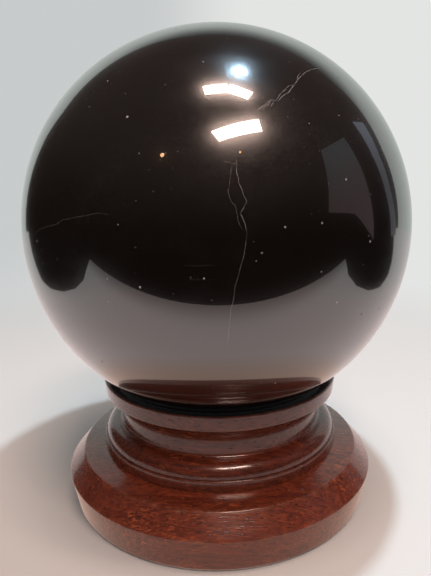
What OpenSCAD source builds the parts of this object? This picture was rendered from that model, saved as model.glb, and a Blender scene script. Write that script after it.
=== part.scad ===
// Polished stone ball on a turned and lacquered hardwood stand.
// The ball rests by its own weight in a dished felt ring, turns with that ring, and lifts
// straight up off it. The stand is two turnings, a cup and a plinth, joined by a spigot
// and drawn together by one screw from below, which the felt pad under the plinth covers.
// Millimetres, +Z up. The origin is the middle of the underside, on the surface it stands on.

/* [Ball] */
// Diameter of the stone ball
ball_d = 100; // [84:1:120]
// Gap between the ball and the felt ring that carries it
ball_gap = 0.15; // [0.1:0.05:0.3]
// Gap between the ball and the wooden lip around the felt ring
lip_gap = 1.5; // [0.25:0.05:1.6]
// Gap between the ball and the dish under it
dish_gap = 1.5; // [0.8:0.1:2]

/* [Felt ring] */
// Width of the ring, from its outside edge to its inside edge
ring_w = 4; // [3:0.5:6]
// Thickness of the ring at its inside edge
ring_edge = 0.95; // [0.7:0.05:2]
// Gap between the ring and the wall of its pocket
ring_gap = 0.2; // [0.1:0.05:0.4]
// How far the ring's outside edge lies below the top of the collar
ring_drop = 0.5; // [0.3:0.1:1]

/* [Cup] */
// Thickness of the collar's wall at its top edge
collar_wall = 3.2; // [2.4:0.1:4.5]
// How much the collar narrows from its top edge to its bottom edge, on the radius
collar_taper = 0.4; // [0:0.1:0.8]
// How far the neck lies inside the collar's bottom edge
neck_in = 4; // [3:0.1:5]
// Width of the flat under the collar, outside the cove
cove_lip = 0.4; // [0.2:0.1:0.8]
// Radius of the cove between the neck and the collar
cove_r = 5.2; // [5:0.1:6.5]
// Height of the straight stretch of the neck
neck_h = 2.6; // [1:0.1:8]
// Radius of the fillet at the foot of the neck
fillet_r = 0.9; // [0.5:0.1:2.4]
// How far the bead's side lies inside the edge of the flange below it
bead_in = 0.5; // [0.2:0.1:1]
// Height of the bead's middle above the flange
bead_lift = 0.2; // [0:0.1:0.6]
// Height of the flange that stands on the plinth
flange_h = 2.9; // [2:0.1:5]
// How much the flange narrows from its foot to its top edge, on the radius
flange_taper = 0.1; // [0:0.1:0.8]
// How far the foot of the flange stands out past the collar's top edge
flange_out = 0.6; // [0.2:0.1:2]
// Diameter of the spigot under the cup
spigot_d = 28; // [20:1:34]
// Length of the spigot
spigot_h = 8; // [5:0.5:9]

/* [Plinth] */
// Widest diameter of the plinth, at the lower edge of its bevel
plinth_d = 85.8; // [71:0.2:103]
// Height of the plinth's upper face where the cup stands on it
plinth_h = 15.2; // [13:0.1:20]
// How far the upper face falls from the cup to its outer edge
shelf_fall = 1; // [0.4:0.1:2]
// Width of the upper face around the cup
shelf_w = 5.7; // [3:0.1:9]
// Width of the bevel
bevel_w = 4.2; // [2:0.1:7]
// Height of the bevel
bevel_h = 5; // [3:0.1:7]
// How much the side narrows from the bevel down to the foot, on the radius
side_taper = 1.7; // [0:0.1:3]
// Small bevel around the foot
foot_edge = 0.5; // [0.3:0.1:1.2]
// Gap between the spigot and its mortise, for glue
mortise_gap = 0.1; // [0.05:0.05:0.2]
// Space left under the spigot for glue
glue_gap = 0.2; // [0.1:0.1:0.5]

/* [Felt pad] */
// How far the pad's edge lies inside the flat of the plinth's foot
pad_in = 4.7; // [2:0.1:10]
// Thickness of the felt pad
pad_h = 1.6; // [1.2:0.1:2.4]
// How far the pad stands out below the wood
pad_proud = 0.3; // [0.2:0.1:0.6]
// Gap around the pad in its recess
pad_gap = 0.2; // [0.1:0.1:0.5]

/* [Screw] */
// Diameter of the screw's shank
screw_d = 4; // [3:0.5:5]
// Diameter of the screw's countersunk head
head_d = 8; // [6:0.5:10]
// Gap between the screw and the wood around it
screw_gap = 0.05; // [0.05:0.05:0.2]
// Length of the screw's point
point_h = 3; // [2:0.5:5]
// Thickness of wood left between the screw's point and the dish
screw_cover = 3; // [2:0.5:5]

/* [Hidden] */
$fn = 180;

// Radii of the stand, from the outside in.
plinth_r = plinth_d / 2;
shelf_r = plinth_r - bevel_w;
flange_r = shelf_r - shelf_w;
collar_r = flange_r - flange_out;
collar_foot_r = collar_r - collar_taper;
neck_r = collar_foot_r - neck_in;
bead_edge_r = flange_r - flange_taper - bead_in;
fillet_c = neck_r + fillet_r;
bead_r = bead_edge_r - fillet_c;
pocket_r = collar_r - collar_wall;
ring_r = pocket_r - ring_gap;
ring_hole_r = ring_r - ring_w;
spigot_r = spigot_d / 2;
foot_r = plinth_r - side_taper - foot_edge;
pad_r = foot_r - pad_in;

// Heights of the stand, from the bottom up.
plinth_foot = pad_proud;
bevel_foot = plinth_h - shelf_fall - bevel_h;
mortise_floor = plinth_h - spigot_h - glue_gap;
flange_top = plinth_h + flange_h;
bead_mid = flange_top + bead_lift;
fillet_mid = bead_mid + bead_r + fillet_r;
cove_mid = fillet_mid + neck_h;
collar_foot = cove_mid + cove_r;

// The ball's height follows from the ring that it rests in. The pocket's floor is level
// with the collar's bottom edge, so the collar is as deep as the pocket.
ball_r = ball_d / 2;
seat_r = ball_r + ball_gap;
ring_depth = sqrt(seat_r * seat_r - ring_hole_r * ring_hole_r);
ring_rise = ring_depth - sqrt(seat_r * seat_r - ring_r * ring_r);
ball_z = collar_foot + ring_edge + ring_depth;
collar_top = collar_foot + ring_edge + ring_rise + ring_drop;
dish_r = ball_r + dish_gap;

// The screw runs from the bottom of the pad's recess to just under the dish.
recess_top = plinth_foot + pad_h - pad_proud;
head_r = head_d / 2;
head_z = recess_top + screw_gap;
screw_r = screw_d / 2;
head_h = head_r - screw_r;
screw_tip = ball_z - dish_r - screw_cover;
slot_w = 0.9;
slot_l = head_r;
slot_h = 1.2;

// A rectangle standing on the axis, from one height to another.
module post(r, low, high) {
    translate([0, low]) square([r, high - low]);
}

// Outline of the screw, made larger all round by grow.
module screw_outline(grow = 0) {
    polygon([
        [0, head_z - grow],
        [head_r + grow, head_z - grow],
        [screw_r + grow, head_z + head_h],
        [screw_r + grow, screw_tip - point_h],
        [0, screw_tip + grow]
    ]);
}

// Outside of the cup, from the spigot up to the collar.
module cup_outline() {
    post(spigot_r, plinth_h - spigot_h, plinth_h);
    polygon([
        [0, plinth_h],
        [flange_r, plinth_h],
        [flange_r - flange_taper, flange_top],
        [0, flange_top]
    ]);
    bead();
    post(neck_r, flange_top, collar_foot);
    neck_fillet();
    cove();
    polygon([
        [0, collar_foot],
        [collar_foot_r, collar_foot],
        [collar_r, collar_top],
        [0, collar_top]
    ]);
}

// The rounded shoulder that stands on the flange.
module bead() {
    post(bead_edge_r, flange_top, bead_mid);
    post(fillet_c, bead_mid, bead_mid + bead_r);
    intersection() {
        translate([fillet_c, bead_mid]) circle(bead_r);
        translate([fillet_c, bead_mid]) square(bead_r);
    }
}

// The hollow curve from the neck out to the top of the bead.
module neck_fillet() {
    difference() {
        translate([0, fillet_mid - fillet_r]) square([fillet_c, fillet_r]);
        translate([fillet_c, fillet_mid]) circle(fillet_r);
    }
}

// The hollow curve from the neck out to the underside of the collar.
module cove() {
    difference() {
        translate([0, cove_mid]) square([collar_foot_r - cove_lip, cove_r]);
        translate([neck_r + cove_r, cove_mid]) circle(cove_r);
    }
}

// Outside of the plinth.
module plinth_outline() {
    polygon([
        [0, plinth_foot],
        [foot_r, plinth_foot],
        [plinth_r - side_taper, plinth_foot + foot_edge],
        [plinth_r, bevel_foot],
        [shelf_r, plinth_h - shelf_fall],
        [flange_r, plinth_h],
        [0, plinth_h]
    ]);
}

module ball() {
    color([0.07, 0.06, 0.06]) translate([0, 0, ball_z]) sphere(ball_r);
}

module seat_ring() {
    color([0.05, 0.05, 0.05]) rotate_extrude() difference() {
        translate([ring_hole_r, collar_foot]) square([ring_w, collar_top - collar_foot]);
        translate([0, ball_z]) circle(seat_r);
    }
}

module cup() {
    color([0.33, 0.13, 0.08]) rotate_extrude() difference() {
        cup_outline();
        post(pocket_r, collar_foot, collar_top + 1);
        dish();
        lip();
        screw_outline(screw_gap);
    }
}

// The hollow under the ball, up to the pocket's floor.
module dish() {
    intersection() {
        translate([0, ball_z]) circle(dish_r);
        post(dish_r, ball_z - dish_r - 1, collar_foot);
    }
}

// The slope inside the collar's top edge, above the pocket's floor.
module lip() {
    intersection() {
        translate([0, ball_z]) circle(ball_r + lip_gap);
        post(collar_r, collar_foot, collar_top + 1);
    }
}

module plinth() {
    color([0.36, 0.15, 0.09]) rotate_extrude() difference() {
        plinth_outline();
        post(spigot_r + mortise_gap, mortise_floor, plinth_h + 1);
        post(pad_r + pad_gap, plinth_foot - 1, recess_top);
        screw_outline(screw_gap);
    }
}

module base_screw() {
    color([0.72, 0.6, 0.3]) difference() {
        rotate_extrude() screw_outline();
        for (turn = [0, 90]) {
            rotate([0, 0, turn]) translate([-slot_l / 2, -slot_w / 2, head_z - 1])
                cube([slot_l, slot_w, slot_h + 1]);
        }
    }
}

module base_pad() {
    color([0.06, 0.06, 0.06]) cylinder(r = pad_r, h = pad_h);
}

ball();
seat_ring();
cup();
plinth();
base_screw();
base_pad();
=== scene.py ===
"""Polished black stone ball on a turned and lacquered hardwood stand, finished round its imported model."""

import math
from dataclasses import dataclass

import bmesh
import bpy
from bpy.props import FloatProperty, FloatVectorProperty, IntProperty, PointerProperty
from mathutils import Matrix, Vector


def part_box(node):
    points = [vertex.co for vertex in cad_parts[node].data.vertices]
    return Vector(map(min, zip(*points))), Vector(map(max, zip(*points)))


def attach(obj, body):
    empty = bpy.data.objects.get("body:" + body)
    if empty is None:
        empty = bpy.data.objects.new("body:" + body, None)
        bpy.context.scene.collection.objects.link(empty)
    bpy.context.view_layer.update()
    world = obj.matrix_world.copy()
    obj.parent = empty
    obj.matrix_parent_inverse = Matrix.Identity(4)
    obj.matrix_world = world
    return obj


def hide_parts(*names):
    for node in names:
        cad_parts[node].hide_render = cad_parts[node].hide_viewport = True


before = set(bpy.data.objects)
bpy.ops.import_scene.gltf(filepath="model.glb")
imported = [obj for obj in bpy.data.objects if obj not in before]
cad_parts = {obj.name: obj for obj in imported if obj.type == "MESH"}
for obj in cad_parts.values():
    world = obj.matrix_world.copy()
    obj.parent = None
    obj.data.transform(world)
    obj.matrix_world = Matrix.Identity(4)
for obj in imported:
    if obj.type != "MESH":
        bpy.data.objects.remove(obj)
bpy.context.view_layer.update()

bl_info = {
    "name": "Stone Ball and Stand",
    "version": (1, 0, 0),
    "blender": (4, 5, 0),
    "location": "3D View > Sidebar > Stone Ball",
    "description": "Builds a polished stone ball, its felt seat and its turned hardwood stand",
    "category": "Add Mesh",
}

MM = 0.001
SPECK_SEED = 11
FIBRE_SEED = 5

# Where each block of wood lies in the log, in millimetres, and how far painted shade darkens the whole cup.
CUP_BLOCK = (14, 31, 63)
PLINTH_BLOCK = (-22, 44, 78)
CUP_SHADE = 0.62

# Fineness of the meshes: longest stretch of a section, segments round the felt, cells under the specks.
WOOD_STEP = 0.75 * MM
RING_STEP = 0.4 * MM
PAD_STEP = 1 * MM
FELT_SEGMENTS = 200
SPECK_CELLS = 20

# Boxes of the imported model.
BALL_LOW, BALL_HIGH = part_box("ball")
CUP_LOW, CUP_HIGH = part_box("cup")
PLINTH_LOW, PLINTH_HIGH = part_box("plinth")
RING_LOW, RING_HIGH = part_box("seat_ring")
SCREW_LOW, SCREW_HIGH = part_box("base_screw")
PAD_LOW, PAD_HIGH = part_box("base_pad")


def length(label, about, size, **limits):
    """A size in metres that a user may change."""
    return FloatProperty(name=label, description=about, default=size, min=0, precision=5,
                         subtype="DISTANCE", unit="LENGTH", **limits)


def colour(label, about, red, green, blue):
    """A colour that a user may change."""
    return FloatVectorProperty(name=label, description=about, default=(red, green, blue),
                               min=0, soft_max=1, subtype="COLOR", size=3)


class BallSizes(bpy.types.PropertyGroup):
    """Sizes of the stone ball and of what shows on its skin."""

    radius: length("Radius", "Radius of the stone ball", (BALL_HIGH.x - BALL_LOW.x) / 2)
    height: length("Height", "Height of the ball's middle above the table", (BALL_LOW.z + BALL_HIGH.z) / 2)
    cells: IntProperty(name="Cells", description="Mesh cells along each of the twelve seams",
                       default=96, min=8, max=120)
    skin: length("Skin", "How far veins and specks stand on the polish", 0.012 * MM)
    vein_width: length("Vein width", "Width of a vein, soft edges included", 0.46 * MM)
    vein_wander: length("Vein wander", "How far a vein strays from its path", 0.3 * MM)
    speck_size: length("Speck size", "Radius of the largest speck", 0.27 * MM)
    speck_density: FloatProperty(name="Speck density", description="Specks in a square metre of skin",
                                 default=110000, min=0)


class StandSizes(bpy.types.PropertyGroup):
    """Sizes of the stand: its two turnings, its screw and its felt."""

    collar_foot: length("Collar foot", "Height of the collar's bottom edge", RING_LOW.z)
    collar_radius: length("Collar radius", "Radius of the collar at its top edge", 32.4 * MM)
    collar_taper: length("Collar taper", "How much the collar narrows downwards", 0.4 * MM)
    pocket_radius: length("Pocket radius", "Radius of the felt ring's pocket", RING_HIGH.x + 0.2 * MM)
    lip_gap: length("Lip gap", "Gap between the ball and the collar's lip", 1.5 * MM)
    dish_gap: length("Dish gap", "Gap between the ball and the dish under it", 1.5 * MM)
    neck_radius: length("Neck radius", "Radius of the neck", 28 * MM)
    cove_radius: length("Cove radius", "Radius of the cove under the collar", 5.2 * MM)
    cove_lip: length("Cove lip", "Width of the flat outside the cove", 0.4 * MM)
    fillet_radius: length("Fillet radius", "Radius of the hollow at the foot of the neck", 0.9 * MM)
    bead_radius: length("Bead radius", "Radius of the rounded shoulder on the flange", 3.5 * MM)
    bead_lift: length("Bead lift", "Height of the bead's middle above the flange", 0.2 * MM)
    flange_height: length("Flange height", "Height of the flange on the plinth", 2.9 * MM)
    flange_taper: length("Flange taper", "How much the flange narrows upwards", 0.1 * MM)
    spigot_radius: length("Spigot radius", "Radius of the spigot under the cup", 14 * MM)
    mortise_gap: length("Mortise gap", "Gap between the spigot and its mortise", 0.1 * MM)
    glue_gap: length("Glue gap", "Space left under the spigot", 0.2 * MM)
    shelf_fall: length("Shelf fall", "How far the plinth's upper face falls outwards", 1 * MM)
    bevel_width: length("Bevel width", "Width of the plinth's bevel", 4.2 * MM)
    bevel_height: length("Bevel height", "Height of the plinth's bevel", 5 * MM)
    side_taper: length("Side taper", "How much the plinth narrows down to its foot", 1.7 * MM)
    foot_edge: length("Foot edge", "Small bevel round the foot", 0.5 * MM)
    pad_gap: length("Pad gap", "Gap round the felt pad in its recess", 0.2 * MM)
    shank_radius: length("Shank radius", "Radius of the screw's shank", 2 * MM)
    screw_gap: length("Screw gap", "Gap between the screw and the wood", 0.05 * MM)
    arris: length("Arris", "Rounding of the sharp edges", 0.32 * MM)
    ring_width: length("Ring width", "Width of the felt ring", 4 * MM)
    seat_gap: length("Seat gap", "Gap between the ball and the felt ring", 0.17 * MM)
    felt_edge: length("Felt edge", "Rounding of the felt's edges", 0.25 * MM)
    fibre_reach: length("Fibre reach", "Length of the longest wool fibres", 0.8 * MM)
    fibre_density: FloatProperty(name="Fibre density", description="Loose fibres in a square metre of felt",
                                 default=2.6e6, min=0)
    segments: IntProperty(name="Segments", description="Mesh segments round a turning",
                          default=240, min=24, max=360)


class Finishes(bpy.types.PropertyGroup):
    """Colours of the stone, the wood, the felt and the brass."""

    stone: colour("Stone", "Body of the stone", 0.0024, 0.0016, 0.0014)
    stone_patch: colour("Stone patches", "Slightly paler patches in the stone", 0.008, 0.0055, 0.005)
    vein: colour("Vein", "Mineral in the veins", 0.27, 0.225, 0.205)
    speck: colour("Speck", "Specks and polishing pits", 0.42, 0.37, 0.34)
    wood_dark: colour("Dark wood", "Darkest streaks of the wood", 0.05, 0.0085, 0.0045)
    wood: colour("Wood", "Body of the wood", 0.150, 0.0275, 0.0125)
    # bright flecks: partly the wood's own figure, partly a painted sheen
    wood_fleck_and_sheen: colour("Wood fleck", "Bright flecks across the grain", 0.40, 0.088, 0.024)
    # also the colour of the painted shade in the wood's inner corners
    wood_pore_and_shade: colour("Wood pores", "Pores under the lacquer", 0.014, 0.0035, 0.003)
    wood_worn: colour("Worn arris", "Edges where the stain is rubbed thin", 0.20, 0.075, 0.045)
    felt: colour("Felt", "Pressed wool felt", 0.012, 0.012, 0.013)
    brass: colour("Brass", "Screw", 0.72, 0.50, 0.22)


class StageSizes(bpy.types.PropertyGroup):
    """Camera, lights and table of the studio."""

    lens: FloatProperty(name="Lens", description="Focal length of the camera in millimetres",
                        default=35.06, min=10, max=200)
    camera_distance: length("Camera distance", "Distance of the camera in front of the ball", 151.9 * MM)
    camera_height: length("Camera height", "Height of the camera", 93.4 * MM)
    camera_tilt: FloatProperty(name="Camera tilt", description="How far the camera looks down",
                               default=math.radians(13.25), subtype="ANGLE", unit="ROTATION")
    camera_turn: FloatProperty(name="Camera turn", description="How far the camera looks to the right",
                               default=math.radians(2.14), subtype="ANGLE", unit="ROTATION")
    camera_shift: FloatProperty(name="Camera shift", description="Sideways shift of the lens",
                                default=-0.0425, min=-0.5, max=0.5)
    light_height: length("Light height", "Height of the ceiling lights", 1.0)
    lamp_height: length("Lamp height", "Height of the small round lamp over the ball", 0.4)


# ---------------------------------------------------------------------------------------------
# Node trees
# ---------------------------------------------------------------------------------------------


def node(tree, kind, inputs=None, **settings):
    """Adds a node, applies its settings and fills or links its inputs."""
    made = tree.nodes.new(kind)
    for key, value in settings.items():
        setattr(made, key, value)
    for key, value in (inputs or {}).items():
        socket = made.inputs[key]
        if isinstance(value, bpy.types.NodeSocket):
            tree.links.new(value, socket)
        else:
            socket.default_value = value
    return made


def math_node(tree, operation, *values, clamp=False):
    """Result of a Math node over plain numbers and sockets."""
    return node(tree, "ShaderNodeMath", dict(enumerate(values)), operation=operation,
                use_clamp=clamp).outputs[0]


def vector_math(tree, operation, *values, scale=None):
    """Result of a Vector Math node."""
    made = node(tree, "ShaderNodeVectorMath", dict(enumerate(values)), operation=operation)
    if scale is not None:
        if isinstance(scale, bpy.types.NodeSocket):
            tree.links.new(scale, made.inputs["Scale"])
        else:
            made.inputs["Scale"].default_value = scale
    return made.outputs["Value" if operation in {"LENGTH", "DOT_PRODUCT", "DISTANCE"} else "Vector"]


def ramp(tree, value, low, high, to_low=0.0, to_high=1.0):
    """Smooth step of a value from one range to another."""
    return node(tree, "ShaderNodeMapRange",
                {"Value": value, "From Min": low, "From Max": high, "To Min": to_low, "To Max": to_high},
                interpolation_type="SMOOTHSTEP").outputs["Result"]


def mix_colour(tree, factor, first, second, blend="MIX"):
    """Mix of two colours; plain colours may be given as three numbers."""
    made = node(tree, "ShaderNodeMix", data_type="RGBA", blend_type=blend)
    for socket, value in ((made.inputs[0], factor), (made.inputs[6], first), (made.inputs[7], second)):
        if isinstance(value, bpy.types.NodeSocket):
            tree.links.new(value, socket)
        elif isinstance(value, (int, float)):
            socket.default_value = value
        else:
            socket.default_value = (*value, 1)
    return made.outputs[2]


def in_millimetres(tree, stretch=(1, 1, 1), shift=(0, 0, 0)):
    """Object coordinates in millimetres, stretched and moved."""
    place = node(tree, "ShaderNodeTexCoord").outputs["Object"]
    scale = tuple(s / MM for s in stretch)
    return node(tree, "ShaderNodeMapping", {"Vector": place, "Scale": scale, "Location": shift}).outputs[0]


def noise(tree, place, scale, detail=3.0, roughness=0.5, distortion=0.0):
    """Noise value between 0 and 1."""
    return node(tree, "ShaderNodeTexNoise",
                {"Vector": place, "Scale": scale, "Detail": detail, "Roughness": roughness,
                 "Distortion": distortion}).outputs[0]


def bump(tree, height, distance, strength=1.0, normal=None):
    """Normal from a height in millimetres."""
    inputs = {"Height": height, "Distance": distance * MM, "Strength": strength}
    if normal is not None:
        inputs["Normal"] = normal
    return node(tree, "ShaderNodeBump", inputs).outputs[0]


def new_material(name, **constants):
    """A material with one Principled shader, and constant values on its own sockets."""
    material = bpy.data.materials.new(name)
    material.use_nodes = True
    tree = material.node_tree
    shader = tree.nodes["Principled BSDF"]
    for key, value in constants.items():
        shader.inputs[key.replace("_", " ")].default_value = value
    return material, tree, shader


# ---------------------------------------------------------------------------------------------
# Materials
# ---------------------------------------------------------------------------------------------

STONE_IOR = 2.15
SHEEN_IOR = 1.5
POLISH = 0.018


def stone_colour(tree, finish):
    """Near-black stone with faint cloudy patches."""
    clouds = noise(tree, in_millimetres(tree), 0.045, 5, 0.6, 0.8)
    grains = noise(tree, in_millimetres(tree, shift=(7, 3, 1)), 0.9, 3, 0.6)
    patch = math_node(tree, "MULTIPLY", ramp(tree, clouds, 0.42, 0.72), ramp(tree, grains, 0.3, 0.75))
    return mix_colour(tree, patch, finish.stone, finish.stone_patch)


def polish_bump(tree):
    """Hairline polishing marks and a few microscopic pits."""
    marks = noise(tree, in_millimetres(tree, (0.25, 2.2, 6)), 1.0, 2, 0.5)
    pits = node(tree, "ShaderNodeTexVoronoi", {"Vector": in_millimetres(tree), "Scale": 0.55},
                feature="F1").outputs["Distance"]
    height = math_node(tree, "ADD", math_node(tree, "MULTIPLY", marks, 0.15), ramp(tree, pits, 0.02, 0.07))
    return bump(tree, height, 0.0022)


def stone_material(finish):
    """Mirror-polished black stone: a sharp polish over a faint broad sheen."""
    material, tree, shader = new_material("polished_stone", IOR=SHEEN_IOR, Specular_IOR_Level=0.62,
                                          Coat_Weight=1.0, Coat_Roughness=POLISH, Coat_IOR=STONE_IOR)
    smears = noise(tree, in_millimetres(tree, (0.5, 0.5, 1.0)), 0.10, 4, 0.6, 0.3)
    dust = noise(tree, in_millimetres(tree, shift=(4, 8, 2)), 1.9, 3, 0.75)
    dull = math_node(tree, "MULTIPLY_ADD", math_node(tree, "SUBTRACT", dust, 0.5), 0.9, smears)
    tree.links.new(stone_colour(tree, finish), shader.inputs["Base Color"])
    tree.links.new(ramp(tree, dull, 0.2, 0.8, 0.17, 0.27), shader.inputs["Roughness"])
    tree.links.new(polish_bump(tree), shader.inputs["Coat Normal"])
    return material


def vein_material(finish):
    """Pale mineral line that breaks up and fades into the stone at its edges."""
    material, tree, shader = new_material("stone_vein", IOR=SHEEN_IOR, Specular_IOR_Level=0.62,
                                          Coat_Weight=1.0, Coat_Roughness=POLISH, Coat_IOR=STONE_IOR)
    across = node(tree, "ShaderNodeAttribute", attribute_name="across").outputs["Fac"]
    strength = node(tree, "ShaderNodeAttribute", attribute_name="strength").outputs["Fac"]
    middle = math_node(tree, "ABSOLUTE", math_node(tree, "SUBTRACT", across, 0.5))
    rag = noise(tree, in_millimetres(tree), 2.6, 4, 0.65)
    half = math_node(tree, "MULTIPLY_ADD", rag, 0.34, 0.02)
    line = math_node(tree, "SUBTRACT", 1.0, ramp(tree, math_node(tree, "DIVIDE", middle, half), 0.25, 1.0))
    thin = noise(tree, in_millimetres(tree, shift=(3, 9, 4)), 0.9, 3, 0.6)
    breaks = ramp(tree, thin, 0.30, 0.62, 0.3, 1.0)
    amount = math_node(tree, "MULTIPLY", math_node(tree, "MULTIPLY", line, breaks), strength, clamp=True)
    tree.links.new(mix_colour(tree, amount, stone_colour(tree, finish), finish.vein),
                   shader.inputs["Base Color"])
    shader.inputs["Roughness"].default_value = 0.24
    return material


def speck_material(finish):
    """Specks and pits, each with its own tone."""
    material, tree, shader = new_material("stone_speck", IOR=1.5, Specular_IOR_Level=0.3)
    tone = node(tree, "ShaderNodeAttribute", attribute_name="tone").outputs["Fac"]
    grit = noise(tree, in_millimetres(tree), 9.0, 2)
    pale = math_node(tree, "POWER", tone, 2.4)
    shade = math_node(tree, "MULTIPLY", pale, ramp(tree, grit, 0.2, 0.8, 0.5, 1.0))
    tree.links.new(mix_colour(tree, shade, finish.stone_patch, finish.speck), shader.inputs["Base Color"])
    tree.links.new(ramp(tree, grit, 0.2, 0.8, 0.3, 0.6), shader.inputs["Roughness"])
    return material


def wood_material(name, finish, block, tone=1.0):
    """Lacquered red-brown hardwood, grain along X; block moves it in the log, tone darkens it all over as
    painted shade.
    """
    material, tree, shader = new_material(name, IOR=1.5, Specular_IOR_Level=0.28, Coat_Weight=0.78,
                                          Coat_Roughness=0.1, Coat_IOR=1.5)
    place = in_millimetres(tree, shift=block)
    sway = node(tree, "ShaderNodeTexNoise", {"Vector": in_millimetres(tree, (0.012, 0.05, 0.05), block),
                                             "Scale": 1.0, "Detail": 3.0}).outputs["Color"]
    bend = vector_math(tree, "SCALE", vector_math(tree, "SUBTRACT", sway, (0.5, 0.5, 0.5)), scale=16.0)
    log = vector_math(tree, "ADD", place, bend)

    # Growth rings lie round a heart well below the block.
    ring_radius = vector_math(tree, "LENGTH", vector_math(tree, "MULTIPLY", log, (0.0, 1.0, 1.0)))
    ring = math_node(tree, "FRACT", math_node(tree, "DIVIDE", ring_radius, 5.2))
    late = math_node(tree, "POWER", ring, 3.0)
    fibre = noise(tree, vector_math(tree, "MULTIPLY", log, (0.045, 1.0, 1.0)), 1.7, 6, 0.68)
    streak = noise(tree, vector_math(tree, "MULTIPLY", log, (0.02, 0.3, 0.3)), 1.0, 4, 0.6)
    fleck = noise(tree, vector_math(tree, "MULTIPLY", log, (0.5, 1.2, 1.2)), 1.0, 4, 0.7, 0.5)
    patch = noise(tree, vector_math(tree, "MULTIPLY", log, (0.03, 0.05, 0.05)), 1.0, 2)

    body = mix_colour(tree, ramp(tree, fibre, 0.28, 0.66), finish.wood_dark, finish.wood)
    body = mix_colour(tree, math_node(tree, "MULTIPLY", late, 0.45), body, finish.wood_dark)
    body = mix_colour(tree, ramp(tree, streak, 0.56, 0.76, 0.0, 0.75), body, finish.wood_dark)
    # Bright flecks across the grain: partly the wood's figure, partly a painted sheen of its chatoyance.
    figure_and_sheen = math_node(tree, "MULTIPLY", ramp(tree, fleck, 0.5, 0.72), ramp(tree, patch, 0.35, 0.65, 0.25, 1.0))
    body = mix_colour(tree, math_node(tree, "MULTIPLY", figure_and_sheen, 0.8), body, finish.wood_fleck_and_sheen)

    # Pores are short tubes along the grain, so they show as dashes in front and dots at the ends.
    cells = node(tree, "ShaderNodeTexVoronoi",
                 {"Vector": vector_math(tree, "MULTIPLY", log, (0.32, 2.6, 2.6)), "Scale": 1.0,
                  "Randomness": 1.0}, feature="F1")
    hole = math_node(tree, "SUBTRACT", 1.0, ramp(tree, cells.outputs["Distance"], 0.16, 0.30))
    chance = node(tree, "ShaderNodeSeparateColor", {"Color": cells.outputs["Color"]}).outputs[0]
    open_pore = math_node(tree, "GREATER_THAN", chance, 0.45)
    pore = math_node(tree, "MULTIPLY", hole, open_pore)
    body = mix_colour(tree, math_node(tree, "MULTIPLY", pore, 0.85), body, finish.wood_pore_and_shade)

    # Rubbed arrises are paler, and painted shade darkens the inner corners.
    worn = node(tree, "ShaderNodeAttribute", attribute_name="worn").outputs["Fac"]
    corner_shade = node(tree, "ShaderNodeAttribute", attribute_name="corner_shade").outputs["Fac"]
    rubbed = ramp(tree, noise(tree, place, 0.35, 4, 0.7), 0.42, 0.66)
    body = mix_colour(tree, math_node(tree, "MULTIPLY", math_node(tree, "MULTIPLY", worn, rubbed), 0.5),
                      body, finish.wood_worn)
    # painted shade in the inner corners, in the colour of the pores
    body = mix_colour(tree, math_node(tree, "MULTIPLY", corner_shade, 0.7), body, finish.wood_pore_and_shade)
    # painted shade: tone darkens the whole piece
    body = mix_colour(tree, 1.0, body, (tone, tone, tone), "MULTIPLY")
    tree.links.new(body, shader.inputs["Base Color"])

    tree.links.new(ramp(tree, fibre, 0.2, 0.8, 0.34, 0.2), shader.inputs["Roughness"])
    relief = math_node(tree, "MULTIPLY_ADD", pore, -1.0, math_node(tree, "MULTIPLY", fibre, 0.5))
    tree.links.new(bump(tree, relief, 0.09), shader.inputs["Normal"])
    tooling = noise(tree, in_millimetres(tree, (0.06, 0.06, 1.3)), 1.0, 2)
    skin = math_node(tree, "ADD", math_node(tree, "MULTIPLY", relief, 0.45), tooling)
    tree.links.new(bump(tree, skin, 0.012), shader.inputs["Coat Normal"])
    return material


def felt_material(name, finish):
    """Pressed wool felt with matted fibres."""
    material, tree, shader = new_material(name, IOR=1.45, Specular_IOR_Level=0.2, Sheen_Weight=0.6,
                                          Sheen_Roughness=0.5)
    shader.inputs["Sheen Tint"].default_value = (0.5, 0.5, 0.5, 1)
    mat = noise(tree, in_millimetres(tree), 3.2, 6, 0.75, 1.5)
    tufts = noise(tree, in_millimetres(tree, shift=(5, 5, 5)), 0.7, 4, 0.6)
    base = mix_colour(tree, ramp(tree, mat, 0.3, 0.75), [c * 0.45 for c in finish.felt],
                      [c * 2.4 for c in finish.felt])
    tree.links.new(base, shader.inputs["Base Color"])
    shader.inputs["Roughness"].default_value = 0.95
    tree.links.new(bump(tree, math_node(tree, "ADD", mat, tufts), 0.12), shader.inputs["Normal"])
    return material


def brass_material(finish):
    """Turned brass with lathe marks and a little tarnish."""
    material, tree, shader = new_material("turned_brass", Metallic=1.0)
    tarnish = noise(tree, in_millimetres(tree), 0.8, 5, 0.7)
    lathe = noise(tree, in_millimetres(tree, (0.4, 0.4, 9)), 1.0, 3)
    base = mix_colour(tree, ramp(tree, tarnish, 0.35, 0.7), finish.brass, [c * 0.55 for c in finish.brass])
    tree.links.new(base, shader.inputs["Base Color"])
    tree.links.new(ramp(tree, tarnish, 0.3, 0.7, 0.22, 0.45), shader.inputs["Roughness"])
    tree.links.new(bump(tree, lathe, 0.01), shader.inputs["Normal"])
    return material


# ---------------------------------------------------------------------------------------------
# Turned shapes
# ---------------------------------------------------------------------------------------------


@dataclass
class Station:
    """A point of a half section: radius, height, and how far the corner there is rounded."""

    r: float
    z: float
    rounding: float = 0.0


@dataclass
class Ring:
    """A ring of the finished mesh, with how worn it is and how much painted corner shade it gets."""

    r: float
    z: float
    worn: float = 0.0
    # how much painted shade darkens the ring in an inner corner
    corner_shade: float = 0.0


def arc(middle_r, middle_z, radius, start, end, steps=10):
    """Stations along an arc; angles are in degrees, 0 outwards and 90 upwards."""
    angles = [math.radians(start + (end - start) * i / steps) for i in range(steps + 1)]
    return [Station(middle_r + radius * math.cos(a), middle_z + radius * math.sin(a)) for a in angles]


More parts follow.
